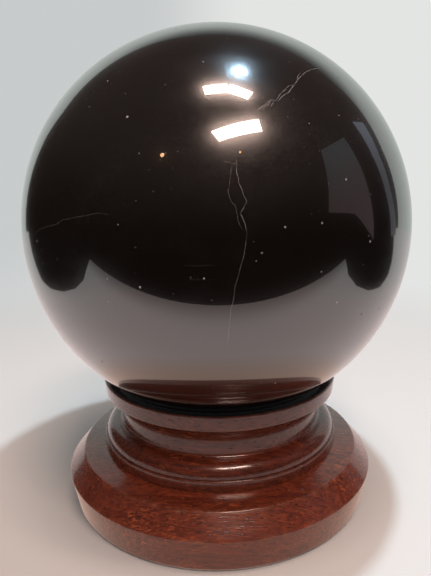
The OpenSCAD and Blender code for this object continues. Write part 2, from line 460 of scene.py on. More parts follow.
def round_corner(before, here, after, steps=4):
    """Rings that replace a corner: an arc on a rounded one, else the corner itself."""
    inwards = Vector((here.r - before.r, here.z - before.z))
    outwards = Vector((after.r - here.r, after.z - here.z))
    turn = math.atan2(inwards.x * outwards.y - inwards.y * outwards.x, inwards.dot(outwards))
    sharp = abs(turn) > math.radians(25)
    worn = float(sharp and turn > 0)
    # an inner corner gets painted shade in the wood
    corner_shade = float(sharp and turn < 0)
    if here.rounding == 0 or abs(turn) < math.radians(2):
        return [Ring(here.r, here.z, worn, corner_shade)]
    reach = here.rounding * math.tan(abs(turn) / 2)
    start = Vector((here.r, here.z)) - inwards.normalized() * reach
    end = Vector((here.r, here.z)) + outwards.normalized() * reach
    side = Vector((-inwards.y, inwards.x)).normalized() * math.copysign(here.rounding, turn)
    middle = start + side
    rings = []
    for i in range(steps + 1):
        angle = turn * i / steps
        spoke = start - middle
        spoke = Vector((spoke.x * math.cos(angle) - spoke.y * math.sin(angle),
                        spoke.x * math.sin(angle) + spoke.y * math.cos(angle)))
        rings.append(Ring(*(middle + spoke), worn, corner_shade))
    rings[-1].r, rings[-1].z = end
    return rings


def finish_outline(stations, closed, step):
    """Rings of an outline, its corners rounded and its long stretches divided."""
    count = len(stations)
    rings = []
    for i, here in enumerate(stations):
        if not closed and i in (0, count - 1):
            rings.append(Ring(here.r, here.z))
            continue
        rings += round_corner(stations[i - 1], here, stations[(i + 1) % count])
    divided = []
    pairs = list(zip(rings, rings[1:] + rings[:1])) if closed else list(zip(rings, rings[1:]))
    for first, second in pairs:
        parts = max(1, math.ceil(math.dist((first.r, first.z), (second.r, second.z)) / step))
        divided.append(first)
        for i in range(1, parts):
            t = i / parts
            divided.append(Ring(first.r + (second.r - first.r) * t, first.z + (second.z - first.z) * t))
    if not closed:
        divided.append(rings[-1])
    return divided


def turn_on_lathe(name, rings, segments, closed=False):
    """Mesh object swept round the Z axis; the outline runs with its solid on the left."""
    verts, faces, rows, worn, corner_shade = [], [], [], [], []
    for ring in rings:
        on_axis = ring.r < 1e-7
        count = 1 if on_axis else segments
        rows.append([len(verts) + i for i in range(count)])
        for i in range(count):
            angle = math.tau * i / segments
            verts.append((ring.r * math.cos(angle), ring.r * math.sin(angle), ring.z))
            worn.append(ring.worn)
            corner_shade.append(ring.corner_shade)
    pairs = list(zip(rows, rows[1:] + rows[:1])) if closed else list(zip(rows, rows[1:]))
    for low, high in pairs:
        for i in range(segments):
            j = (i + 1) % segments
            if len(low) == 1:
                faces.append((low[0], high[j], high[i]))
            elif len(high) == 1:
                faces.append((low[i], low[j], high[0]))
            else:
                faces.append((low[i], low[j], high[j], high[i]))
    mesh = bpy.data.meshes.new(name)
    mesh.from_pydata(verts, [], faces)
    for key, values in (("worn", worn), ("corner_shade", corner_shade)):
        mesh.attributes.new(key, "FLOAT", "POINT").data.foreach_set("value", values)
    mesh.shade_smooth()
    mesh.set_sharp_from_angle(angle=math.radians(32))
    return link_object(name, mesh)


def link_object(name, mesh):
    """New object for a mesh, in the scene."""
    made = bpy.data.objects.new(name, mesh)
    bpy.context.scene.collection.objects.link(made)
    return made


def place_piece(piece, body, slot, material, *nodes):
    """Gives a finished piece its material and its body, and hides the CAD nodes it stands for; the slot is
    not used.
    """
    piece.data.polygons.foreach_set("material_index", [0] * len(piece.data.polygons))
    piece.data.materials.clear()
    piece.data.materials.append(material)
    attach(piece, body)
    if nodes:
        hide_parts(*nodes)


# ---------------------------------------------------------------------------------------------
# Geometry Nodes
# ---------------------------------------------------------------------------------------------


class Recipe:
    """A Geometry Nodes tree with named inputs, which turns an object into a plain mesh."""

    def __init__(self, name):
        self.tree = bpy.data.node_groups.new(name, "GeometryNodeTree")
        self.tree.interface.new_socket("Geometry", in_out="INPUT", socket_type="NodeSocketGeometry")
        self.tree.interface.new_socket("Geometry", in_out="OUTPUT", socket_type="NodeSocketGeometry")
        self.values = {}
        self.entry = None

    def add_input(self, label, kind, value):
        """Declares a named input with its value."""
        socket = self.tree.interface.new_socket(label, in_out="INPUT", socket_type="NodeSocket" + kind)
        self.values[socket.identifier] = value

    def start(self):
        """Group Input node, once all inputs are declared."""
        self.entry = self.tree.nodes.new("NodeGroupInput")
        return self.entry.outputs

    def end(self, geometry, material_socket):
        """Realize Instances, Set Material and the group's output."""
        solid = node(self.tree, "GeometryNodeRealizeInstances", {"Geometry": geometry}).outputs[0]
        painted = node(self.tree, "GeometryNodeSetMaterial",
                       {"Geometry": solid, "Material": material_socket}).outputs[0]
        node(self.tree, "NodeGroupOutput", {"Geometry": painted})

    def cook(self, source, name):
        """Runs the tree on an object and returns its result as a new plain mesh object."""
        modifier = source.modifiers.new(self.tree.name, "NODES")
        modifier.node_group = self.tree
        for identifier, value in self.values.items():
            modifier[identifier] = value
        bpy.context.view_layer.update()
        evaluated = source.evaluated_get(bpy.context.evaluated_depsgraph_get())
        mesh = bpy.data.meshes.new_from_object(evaluated)
        source.modifiers.remove(modifier)
        bpy.data.objects.remove(source)
        if not mesh.polygons:
            raise RuntimeError(f"{self.tree.name} made no faces")
        mesh.name = name
        return link_object(name, mesh)


def to_ball(tree, place, centre, radius):
    """Moves a point straight out or in until it lies on the ball."""
    spoke = vector_math(tree, "NORMALIZE", vector_math(tree, "SUBTRACT", place, centre))
    return vector_math(tree, "ADD", vector_math(tree, "SCALE", spoke, scale=radius), centre), spoke


def vein_recipe(ball, material):
    """Ribbons that follow paths over the ball."""
    recipe = Recipe("veins_on_ball")
    tree = recipe.tree
    recipe.add_input("Centre", "Vector", (0.0, 0.0, ball.height))
    recipe.add_input("Radius", "Float", ball.radius + ball.skin)
    recipe.add_input("Width", "Float", ball.vein_width)
    recipe.add_input("Wander", "Float", ball.vein_wander)
    recipe.add_input("Step", "Float", 0.35 * MM)
    recipe.add_input("Material", "Material", material)
    given = recipe.start()
    curve = node(tree, "GeometryNodeMeshToCurve", {"Mesh": given["Geometry"]}).outputs[0]
    curve = node(tree, "GeometryNodeResampleCurve", {"Curve": curve, "Length": given["Step"]},
                 mode="LENGTH").outputs[0]
    place = node(tree, "GeometryNodeInputPosition").outputs[0]
    stray = node(tree, "ShaderNodeTexNoise", {"Vector": place, "Scale": 420.0, "Detail": 4.0,
                                              "Roughness": 0.7}).outputs["Color"]
    stray = vector_math(tree, "SCALE", vector_math(tree, "SUBTRACT", stray, (0.5, 0.5, 0.5)), scale=2.4)
    stray = vector_math(tree, "SCALE", stray, scale=given["Wander"])
    moved, spoke = to_ball(tree, vector_math(tree, "ADD", place, stray), given["Centre"], given["Radius"])
    curve = node(tree, "GeometryNodeSetPosition", {"Geometry": curve, "Position": moved}).outputs[0]
    place_now = node(tree, "GeometryNodeInputPosition").outputs[0]
    upright = vector_math(tree, "NORMALIZE", vector_math(tree, "SUBTRACT", place_now, given["Centre"]))
    curve = node(tree, "GeometryNodeSetCurveNormal", {"Curve": curve, "Normal": upright},
                 mode="FREE").outputs[0]
    along = node(tree, "GeometryNodeSplineParameter").outputs["Factor"]
    from_end = math_node(tree, "MULTIPLY", math_node(tree, "PINGPONG", along, 0.5), 2.0)
    swell = noise(tree, place_now, 900.0, 3, 0.6)
    widths = node(tree, "GeometryNodeInputNamedAttribute", {"Name": "width"}, data_type="FLOAT").outputs[0]
    wide = math_node(tree, "MULTIPLY", math_node(tree, "MULTIPLY", ramp(tree, from_end, 0, 0.3, 0.35, 1),
                                                 math_node(tree, "ADD", swell, 0.5)), widths)
    wide = math_node(tree, "MULTIPLY", wide, given["Width"])
    line = node(tree, "GeometryNodeCurvePrimitiveLine",
                {"Start": (0, -0.5, 0), "End": (0, 0.5, 0)}).outputs[0]
    side = node(tree, "GeometryNodeSplineParameter").outputs["Factor"]
    keep = node(tree, "GeometryNodeStoreNamedAttribute", {"Geometry": line, "Name": "across", "Value": side},
                data_type="FLOAT", domain="POINT").outputs[0]
    ribbon = node(tree, "GeometryNodeCurveToMesh", {"Curve": curve, "Profile Curve": keep, "Scale": wide})
    recipe.end(node(tree, "GeometryNodeSetShadeSmooth", {"Geometry": ribbon.outputs[0]}).outputs[0],
               given["Material"])
    return recipe


def speck_recipe(ball, material, seed):
    """Small flat specks strewn over the ball in loose clusters."""
    recipe = Recipe("specks_on_ball")
    tree = recipe.tree
    recipe.add_input("Centre", "Vector", (0.0, 0.0, ball.height))
    recipe.add_input("Radius", "Float", ball.radius + ball.skin)
    recipe.add_input("Largest", "Float", ball.speck_size)
    recipe.add_input("Density", "Float", ball.speck_density)
    recipe.add_input("Seed", "Int", seed)
    recipe.add_input("Material", "Material", material)
    given = recipe.start()
    place = node(tree, "GeometryNodeInputPosition").outputs[0]
    cluster = ramp(tree, noise(tree, place, 70.0, 3), 0.38, 0.7, 0.15, 1.0)
    density = math_node(tree, "MULTIPLY", cluster, given["Density"])
    points = node(tree, "GeometryNodeDistributePointsOnFaces",
                  {"Mesh": given["Geometry"], "Density": density, "Seed": given["Seed"]},
                  distribute_method="RANDOM")
    moved, spoke = to_ball(tree, place, given["Centre"], given["Radius"])
    upright = node(tree, "FunctionNodeAlignRotationToVector", {"Vector": spoke}, axis="Z").outputs[0]
    chance = node(tree, "FunctionNodeRandomValue", {"Seed": given["Seed"]}, data_type="FLOAT").outputs[1]
    size = math_node(tree, "MULTIPLY_ADD", math_node(tree, "POWER", chance, 5.0), 0.8, 0.14)
    size = math_node(tree, "MULTIPLY", size, given["Largest"])
    other = node(tree, "FunctionNodeRandomValue", {"Seed": math_node(tree, "ADD", given["Seed"], 5.0)},
                 data_type="FLOAT").outputs[1]
    stretch = node(tree, "ShaderNodeCombineXYZ", {"X": size, "Y": math_node(
        tree, "MULTIPLY", size, math_node(tree, "MULTIPLY_ADD", other, 0.6, 0.5)), "Z": size}).outputs[0]
    placed = node(tree, "GeometryNodeSetPosition", {"Geometry": points.outputs["Points"],
                                                    "Position": moved}).outputs[0]
    disc = node(tree, "GeometryNodeMeshCircle", {"Vertices": 9, "Radius": 1.0},
                fill_type="TRIANGLE_FAN").outputs[0]
    strewn = node(tree, "GeometryNodeInstanceOnPoints",
                  {"Points": placed, "Instance": disc, "Rotation": upright, "Scale": stretch}).outputs[0]
    toned = node(tree, "GeometryNodeStoreNamedAttribute",
                 {"Geometry": strewn, "Name": "tone", "Value": other},
                 data_type="FLOAT", domain="INSTANCE").outputs[0]
    recipe.end(toned, given["Material"])
    return recipe


def fibre_recipe(density, reach, seed, material):
    """Short wool fibres that lie about on a felt surface."""
    recipe = Recipe("felt_fibres")
    tree = recipe.tree
    recipe.add_input("Density", "Float", density)
    recipe.add_input("Reach", "Float", reach)
    recipe.add_input("Seed", "Int", seed)
    recipe.add_input("Material", "Material", material)
    given = recipe.start()
    facing = node(tree, "ShaderNodeSeparateXYZ",
                  {"Vector": node(tree, "GeometryNodeInputNormal").outputs[0]}).outputs[2]
    points = node(tree, "GeometryNodeDistributePointsOnFaces",
                  {"Mesh": given["Geometry"], "Selection": math_node(tree, "GREATER_THAN", facing, 0.3),
                   "Density": given["Density"], "Seed": given["Seed"]}, distribute_method="RANDOM")
    bow = node(tree, "GeometryNodeCurveQuadraticBezier",
               {"Resolution": 4, "Start": (-0.5, 0, 0), "Middle": (0, 0.3, 0.05), "End": (0.5, 0.05, 0)})
    line = node(tree, "GeometryNodeCurvePrimitiveLine",
                {"Start": (0, -0.02, 0), "End": (0, 0.02, 0)}).outputs[0]
    fibre = node(tree, "GeometryNodeCurveToMesh",
                 {"Curve": bow.outputs[0], "Profile Curve": line}).outputs[0]
    spin = node(tree, "FunctionNodeRandomValue", {"Max": math.tau, "Seed": given["Seed"]},
                data_type="FLOAT").outputs[1]
    turned = node(tree, "FunctionNodeRotateRotation",
                  {"Rotation": points.outputs["Rotation"],
                   "Rotate By": node(tree, "FunctionNodeAxisAngleToRotation",
                                     {"Axis": (0, 0, 1), "Angle": spin}).outputs[0]},
                  rotation_space="LOCAL").outputs[0]
    size = node(tree, "FunctionNodeRandomValue", {"Min": 0.5, "Max": 1.0, "Seed": given["Seed"]},
                data_type="FLOAT").outputs[1]
    laid = node(tree, "GeometryNodeInstanceOnPoints",
                {"Points": points.outputs["Points"], "Instance": fibre, "Rotation": turned,
                 "Scale": math_node(tree, "MULTIPLY", size, given["Reach"])}).outputs[0]
    recipe.end(laid, given["Material"])
    return recipe


# ---------------------------------------------------------------------------------------------
# The ball
# ---------------------------------------------------------------------------------------------


def ball_mesh(name, ball, cells):
    """Sphere of even square cells, without poles."""
    shape = bmesh.new()
    bmesh.ops.create_cube(shape, size=2)
    bmesh.ops.subdivide_edges(shape, edges=shape.edges[:], cuts=cells - 1, use_grid_fill=True)
    for vert in shape.verts:
        spread = Vector(math.tan(c * math.pi / 4) for c in vert.co)
        vert.co = spread.normalized() * ball.radius
        vert.co.z += ball.height
    mesh = bpy.data.meshes.new(name)
    shape.to_mesh(mesh)
    shape.free()
    mesh.shade_smooth()
    return link_object(name, mesh)


# Veins as (width, strength, path); a path is a list of (azimuth, elevation) in degrees, where
# azimuth 0 faces the front and grows to the right.
VEINS = [
    (1.0, 0.62, [(4, 21), (4, 18.5), (4.5, 16), (5.5, 13), (6, 12), (4.5, 9.5), (5.5, 7.5), (6, 5.5)]),
    (0.8, 0.42, [(6, 5.5), (5.5, 2.5), (5, 0), (4.5, -2), (3.5, -5.5), (3, -9), (2.5, -12), (2, -17),
                 (1.5, -23)]),
    (0.7, 0.35, [(4, 20), (3, 20), (2.5, 17), (2, 14), (2.5, 12), (3.5, 11), (4, 8), (5, 6)]),
    (0.6, 0.5, [(1, 20.5), (3, 20), (4.5, 19.5)]),
    (0.8, 1.0, [(40, 47), (34, 46), (30, 44.5), (27, 43), (24.5, 41), (22, 39), (20, 37.5), (17.5, 36),
                (16, 35), (15, 35.5)]),
    (0.75, 0.9, [(28, 44.5), (26, 43), (25, 41.5), (23.5, 40), (21, 39.5), (19, 38), (17, 36.5),
                 (15.5, 35)]),
    (0.8, 0.9, [(16, 35), (14.5, 35.5), (13, 34.5), (11.5, 33.5), (10, 32.5)]),
    (0.6, 0.9, [(14.5, 35.5), (13, 33.5)]),
    (0.6, 0.9, [(13.5, 35), (12.5, 33.5)]),
    (0.6, 0.9, [(15, 35), (14, 33.5)]),
    (0.6, 0.8, [(12.5, 34), (11.5, 32.5)]),
    (0.8, 0.30, [(-54, 1.5), (-49, 4), (-45, 5), (-41.5, 5.5), (-39, 7), (-35.5, 7.5), (-33, 8), (-28.5, 9),
                 (-24, 9)]),
    (0.5, 0.8, [(-4, 36.5), (-2.5, 35.5), (-1, 34.5)]),
    (0.4, 0.25, [(-42, 39.5), (-50, 35), (-58.5, 24)]),
    (0.35, 0.3, [(-7.5, -1.5), (-1, -1.5)]),
    (0.35, 0.3, [(-6.5, -4.5), (-1, -4.5)]),
    (1.0, 0.6, [(96, 31), (104, 27), (110, 19), (119, 14), (124, 5), (133, 1), (139, -9), (150, -14)]),
    (0.7, 0.4, [(119, 14), (128, 17), (137, 15), (146, 19)]),
    (0.9, 0.55, [(-150, 38), (-143, 30), (-145, 21), (-137, 12), (-139, 2), (-131, -7), (-128, -19)]),
    (0.6, 0.45, [(-137, 12), (-128, 10), (-119, 13), (-108, 11)]),
    (0.7, 0.5, [(165, 62), (178, 55), (-170, 50), (-163, 42)]),
    (0.6, 0.4, [(172, -6), (179, -12), (-174, -22), (-176, -31)]),
    (0.7, 0.45, [(62, -12), (70, -19), (72, -27), (80, -33)]),
]


def vein_paths(ball):
    """Edges of all the vein paths, as one object with a width and a strength for each point."""
    verts, edges, widths, strengths = [], [], [], []
    for width, strength, path in VEINS:
        first = len(verts)
        for azimuth, elevation in path:
            around, up = math.radians(azimuth), math.radians(elevation)
            verts.append((ball.radius * math.sin(around) * math.cos(up),
                          -ball.radius * math.cos(around) * math.cos(up),
                          ball.radius * math.sin(up) + ball.height))
            widths.append(width)
            strengths.append(strength)
        edges += [(i, i + 1) for i in range(first, len(verts) - 1)]
    mesh = bpy.data.meshes.new("vein_paths")
    mesh.from_pydata(verts, edges, [])
    for key, values in (("width", widths), ("strength", strengths)):
        mesh.attributes.new(key, "FLOAT", "POINT").data.foreach_set("value", values)
    return link_object("vein_paths", mesh)


# ---------------------------------------------------------------------------------------------
# The stand
# ---------------------------------------------------------------------------------------------


def cup_outline(stand, ball):
    """Half section of the cup, from the screw hole round the outside to the middle of the dish."""
    base, top, foot = PLINTH_HIGH.z, CUP_HIGH.z, stand.collar_foot
    flange_foot = CUP_HIGH.x
    flange_edge = flange_foot - stand.flange_taper
    flange_top = base + stand.flange_height
    bead_z = flange_top + stand.bead_lift
    bead_r = stand.neck_radius + stand.fillet_radius
    fillet_z = bead_z + stand.bead_radius + stand.fillet_radius
    collar_edge = stand.collar_radius - stand.collar_taper
    cove_z = foot - stand.cove_radius
    hole = stand.shank_radius + stand.screw_gap
    dish = ball.radius + stand.dish_gap
    lip = ball.radius + stand.lip_gap
    dish_edge = math.sqrt(dish ** 2 - (ball.height - foot) ** 2)
    lip_low = ball.height - math.sqrt(lip ** 2 - stand.pocket_radius ** 2)
    lip_top = math.sqrt(lip ** 2 - (ball.height - top) ** 2)
    dish_start = -math.degrees(math.acos(dish_edge / dish))
    edge = stand.arris
    cove_r = stand.neck_radius + stand.cove_radius
    cove_cosine = (cove_r - (collar_edge - stand.cove_lip)) / stand.cove_radius
    cove_end = math.degrees(math.acos(min(1.0, cove_cosine)))
    return [
        Station(0, SCREW_HIGH.z + stand.screw_gap),
        Station(hole, SCREW_HIGH.z - 3 * MM),
        Station(hole, CUP_LOW.z),
        Station(stand.spigot_radius, CUP_LOW.z, edge),
        Station(stand.spigot_radius, base),
        Station(flange_foot, base, edge * 0.5),
        Station(flange_edge, flange_top, edge),
        Station(bead_r + stand.bead_radius, flange_top),
        *arc(bead_r, bead_z, stand.bead_radius, 0, 90, 14),
        *arc(bead_r, fillet_z, stand.fillet_radius, 270, 180, 10),
        Station(stand.neck_radius, cove_z),
        *arc(cove_r, cove_z, stand.cove_radius, 180, 180 - cove_end, 16)[1:-1],
        Station(collar_edge - stand.cove_lip, foot),
        Station(collar_edge, foot, edge * 0.6),
        Station(stand.collar_radius, top, edge),
        Station(lip_top, top, edge * 0.8),
        Station(stand.pocket_radius, lip_low),
        Station(stand.pocket_radius, foot),
        Station(dish_edge, foot),
        *arc(0, ball.height, dish, dish_start, -90, 24)[1:-1],
        Station(0, ball.height - dish),
    ]


def plinth_outline(stand, pad_radius):
    """Half section of the plinth, a closed loop round its wood."""
    low, high = PLINTH_LOW.z, PLINTH_HIGH.z
    widest = PLINTH_HIGH.x
    flange = CUP_HIGH.x
    bevel_top = high - stand.shelf_fall
    bevel_foot = bevel_top - stand.bevel_height
    floor_z = CUP_LOW.z - stand.glue_gap
    recess = PAD_HIGH.z
    hole = stand.shank_radius + stand.screw_gap
    head = SCREW_HIGH.x + stand.screw_gap
    mortise = stand.spigot_radius + stand.mortise_gap
    edge = stand.arris
    return [
        Station(hole, floor_z),
        Station(hole, recess + head - hole),
        Station(head, recess),
        Station(pad_radius + stand.pad_gap, recess),
        Station(pad_radius + stand.pad_gap, low, edge * 0.5),
        Station(widest - stand.side_taper - stand.foot_edge, low, edge * 0.4),
        Station(widest - stand.side_taper, low + stand.foot_edge, edge * 0.5),
        Station(widest, bevel_foot, edge),
        Station(widest - stand.bevel_width, bevel_top, edge * 1.2),
        Station(flange, high),
        Station(mortise, high),
        Station(mortise, floor_z),
    ]


# ---------------------------------------------------------------------------------------------
# Stage
# ---------------------------------------------------------------------------------------------


def paper_material():
    """Matt white paper; far from the ball it is a painted glow, darker towards the left."""
    material, tree, shader = new_material("white_paper", Roughness=0.9, Specular_IOR_Level=0.1)
    shader.inputs["Base Color"].default_value = (0.49, 0.49, 0.49, 1)
    place = in_millimetres(tree)
    sideways = node(tree, "ShaderNodeSeparateXYZ", {"Vector": place}).outputs[0]
    # painted light: far from the ball the paper glows, darker towards the left
    painted_falloff = mix_colour(tree, ramp(tree, sideways, -260.0, 120.0), (0.58, 0.60, 0.60), (0.77, 0.78, 0.77))
    glow = node(tree, "ShaderNodeEmission", {"Color": painted_falloff}).outputs[0]
    apart = ramp(tree, vector_math(tree, "LENGTH", place), 90.0, 300.0)
    both = node(tree, "ShaderNodeMixShader", {0: apart, 1: shader.outputs[0], 2: glow}).outputs[0]
    tree.links.new(both, tree.nodes["Material Output"].inputs["Surface"])
    return material


def make_camera(stage):
    """Camera close in front of the ball."""
    data = bpy.data.cameras.new("camera")
    data.lens = stage.lens
    data.sensor_width = 36
    data.shift_x = stage.camera_shift
    data.clip_start = 0.005
    data.clip_end = 10
    camera = bpy.data.objects.new("camera", data)
    camera.location = (0, -stage.camera_distance, stage.camera_height)
    camera.rotation_euler = (math.pi / 2 - stage.camera_tilt, 0, -stage.camera_turn)
    bpy.context.scene.collection.objects.link(camera)
    bpy.context.scene.camera = camera


def ceiling_light(name, place, size, turn, radiance, tint, seen=True):
    """Flat light that faces down; radiance is its brightness as seen in the polish."""
    data = bpy.data.lights.new(name, "AREA")
    data.shape = "RECTANGLE" if len(size) == 2 else "DISK"
    data.size = size[0]
    area = size[0] * size[-1]
    if len(size) == 2:
        data.size_y = size[1]
    else:
        area *= math.pi / 4
    data.energy = radiance * math.pi * area
    data.color = tint
    light = bpy.data.objects.new(name, data)
    light.location = place
    light.rotation_euler.z = math.radians(turn)
    light.visible_camera = False
    light.visible_glossy = seen
    bpy.context.scene.collection.objects.link(light)


def small_lamp(name, azimuth, elevation, distance, radius, radiance, tint):
    """Small round lamp in a direction from the ball."""
    data = bpy.data.lights.new(name, "POINT")
    data.shadow_soft_size = radius
    data.energy = radiance * 4 * math.pi ** 2 * radius ** 2
    data.color = tint
    light = bpy.data.objects.new(name, data)
    around, up = math.radians(azimuth), math.radians(elevation)
    light.location = (distance * math.sin(around) * math.cos(up),
                      -distance * math.cos(around) * math.cos(up),
                      distance * math.sin(up))
    light.visible_camera = False
    bpy.context.scene.collection.objects.link(light)


def sweep(name, rings, segments, start=0.0, end=360.0):
    """Open shell swept round Z between two angles."""
    verts, faces = [], []
    for i in range(segments + 1):
        angle = math.radians(start + (end - start) * i / segments)
        verts += [(r * math.cos(angle), r * math.sin(angle), z) for r, z in rings]
    count = len(rings)
    for i in range(segments):
        for j in range(count - 1):
            a, b = i * count + j, (i + 1) * count + j
            faces.append((a, b, b + 1, a + 1))
    mesh = bpy.data.meshes.new(name)
    mesh.from_pydata(verts, [], faces)
    mesh.shade_smooth()
    return link_object(name, mesh)


# Corners of the dim panel and of its bright edge, as (azimuth, elevation) in degrees.
PANEL_CORNERS = [(59, 8), (76, 5), (90, -7), (90, 12), (91, 34), (68, 35)]
EDGE_CORNERS = [(107, -7), (113, -7), (111, 7), (112, 18), (117, 29), (108, 34), (105, 21), (105, 8)]

# Reach of the floor before it bends up, radius of the bend and top of the wall behind it.
FLOOR_REACH = 1.2
FLOOR_BEND = 0.8
WALL_TOP = 2.4

# Outlines of the backdrop, upright behind the ball, and of the table and the dark cards that lie on it.
BACKDROP_DISTANCE = 0.47
CARD_LIFT = 0.5 * MM
TABLE_OUTLINE = [(-1.2, -0.14), (1, -0.14), (1, 0.5), (-1.2, 0.5)]
BACKDROP_OUTLINE = [(-0.5, 0), (0.9, 0), (0.82, 0.4), (0.52, 0.68), (-0.1, 0.68), (-0.5, 0.39)]
LEFT_OUTLINE = [(-0.178, 0), (-0.188, 0.05), (-0.21, 0.095), (-0.27, 0.153), (-1.2, 1.08), (-1.2, -0.53),
                (-0.3, -0.11), (-0.21, -0.066), (-0.183, -0.035)]
RIGHT_OUTLINE = [(0.172, -0.01), (0.181, -0.047), (0.22, -0.084), (0.31, -0.124), (1.2, -0.53), (1.2, 0.49),
                 (0.294, 0.1), (0.226, 0.064), (0.185, 0.028)]


def in_direction(azimuth, elevation, reach=0.6, height=0.09):
    """Point in a direction from the upper half of the ball."""
    around = math.radians(azimuth)
    rise = reach * math.tan(math.radians(elevation))
    return (reach * math.sin(around), -reach * math.cos(around), height + rise)


def flat_card(name, corners):
    """Card of one face."""
    mesh = bpy.data.meshes.new(name)
    mesh.from_pydata(corners, [], [tuple(range(len(corners)))])
    return link_object(name, mesh)


def only_in_reflections(thing):
    """Hides a studio card from everything but reflections."""
    thing.visible_camera = False
    thing.visible_diffuse = False
    thing.visible_shadow = False
    thing.visible_transmission = False


def glow_material(name, tree_paint):
    """Emission whose colour is painted by a function of the tree."""
    material = bpy.data.materials.new(name)
    material.use_nodes = True
    tree = material.node_tree
    tree.nodes.clear()
    glow = node(tree, "ShaderNodeEmission", {"Color": tree_paint(tree), "Strength": 1.0}).outputs[0]
    node(tree, "ShaderNodeOutputMaterial", {"Surface": glow})
    return material


def table_glow(tree):
    """Pale table as the polish sees it, with the ball's soft shadow under it."""
    place = in_millimetres(tree)
    apart = vector_math(tree, "LENGTH", vector_math(tree, "MULTIPLY", place, (1.0, 1.0, 0.0)))
    parts = node(tree, "ShaderNodeSeparateXYZ", {"Vector": place}).outputs
    side = ramp(tree, math_node(tree, "ABSOLUTE", parts[0]), 70.0, 240.0)
    wide = mix_colour(tree, side, (0.80, 0.67, 0.645), (0.62, 0.60, 0.585))
    # painted falloff of light: the table dims towards its front edge
    near = mix_colour(tree, ramp(tree, parts[1], -142.0, -92.0), (0.52, 0.50, 0.50), (1.0, 1.0, 1.0))
    wide = mix_colour(tree, 1.0, wide, near, "MULTIPLY")
    return mix_colour(tree, ramp(tree, apart, 46.0, 74.0), (0.72, 0.50, 0.41), wide)


def backdrop_glow(tree):
    """Pale backdrop that dims towards its top edge."""
    height = node(tree, "ShaderNodeSeparateXYZ", {"Vector": in_millimetres(tree)}).outputs[2]
    return mix_colour(tree, ramp(tree, height, 420.0, 690.0), (0.55, 0.585, 0.56), (0.10, 0.11, 0.105))


def dark_glow(tree):
    """Almost black card."""
    black = node(tree, "ShaderNodeRGB")
    black.outputs[0].default_value = (0.012, 0.009, 0.008, 1)
    return black.outputs[0]


def grey_glow(tree):
    """Dim grey panel at the side of the room, warmer towards its lower edge."""
    height = node(tree, "ShaderNodeSeparateXYZ", {"Vector": in_millimetres(tree)}).outputs[2]
    return mix_colour(tree, ramp(tree, height, 180.0, 560.0), (0.16, 0.12, 0.12), (0.16, 0.17, 0.18))


def strip_glow(tree):
    """Narrow bluish edge beside the panel, brighter towards its top."""
    height = node(tree, "ShaderNodeSeparateXYZ", {"Vector": in_millimetres(tree)}).outputs[2]
    return mix_colour(tree, ramp(tree, height, 150.0, 500.0), (0.17, 0.17, 0.19), (0.34, 0.37, 0.43))


def reflected_card(name, corners, paint):
    """Card that only the polish sees, in a colour painted by a function of the tree."""
    card = flat_card(name, corners)
    card.data.materials.append(glow_material(paint.__name__, paint))
    only_in_reflections(card)


def room_world():
    """Dim warm room as the polish sees it, and soft pale light for everything else."""
    world = bpy.data.worlds.new("room")
    world.use_nodes = True
    tree = world.node_tree
    tree.nodes.clear()
    way = node(tree, "ShaderNodeTexCoord").outputs["Generated"]
    up = node(tree, "ShaderNodeSeparateXYZ", {"Vector": way}).outputs[2]
    dim = mix_colour(tree, ramp(tree, up, -0.1, 0.8), (0.012, 0.008, 0.006), (0.06, 0.044, 0.040))
    dark = node(tree, "ShaderNodeBackground", {"Color": dim, "Strength": 1.0}).outputs[0]
    pale = node(tree, "ShaderNodeBackground", {"Color": (1.0, 0.95, 0.9, 1), "Strength": 0.03}).outputs[0]
    glossy = node(tree, "ShaderNodeLightPath").outputs["Is Glossy Ray"]
    both = node(tree, "ShaderNodeMixShader", {0: glossy, 1: pale, 2: dark}).outputs[0]
    node(tree, "ShaderNodeOutputWorld", {"Surface": both})
    bpy.context.scene.world = world


# ---------------------------------------------------------------------------------------------
# Operators
# ---------------------------------------------------------------------------------------------


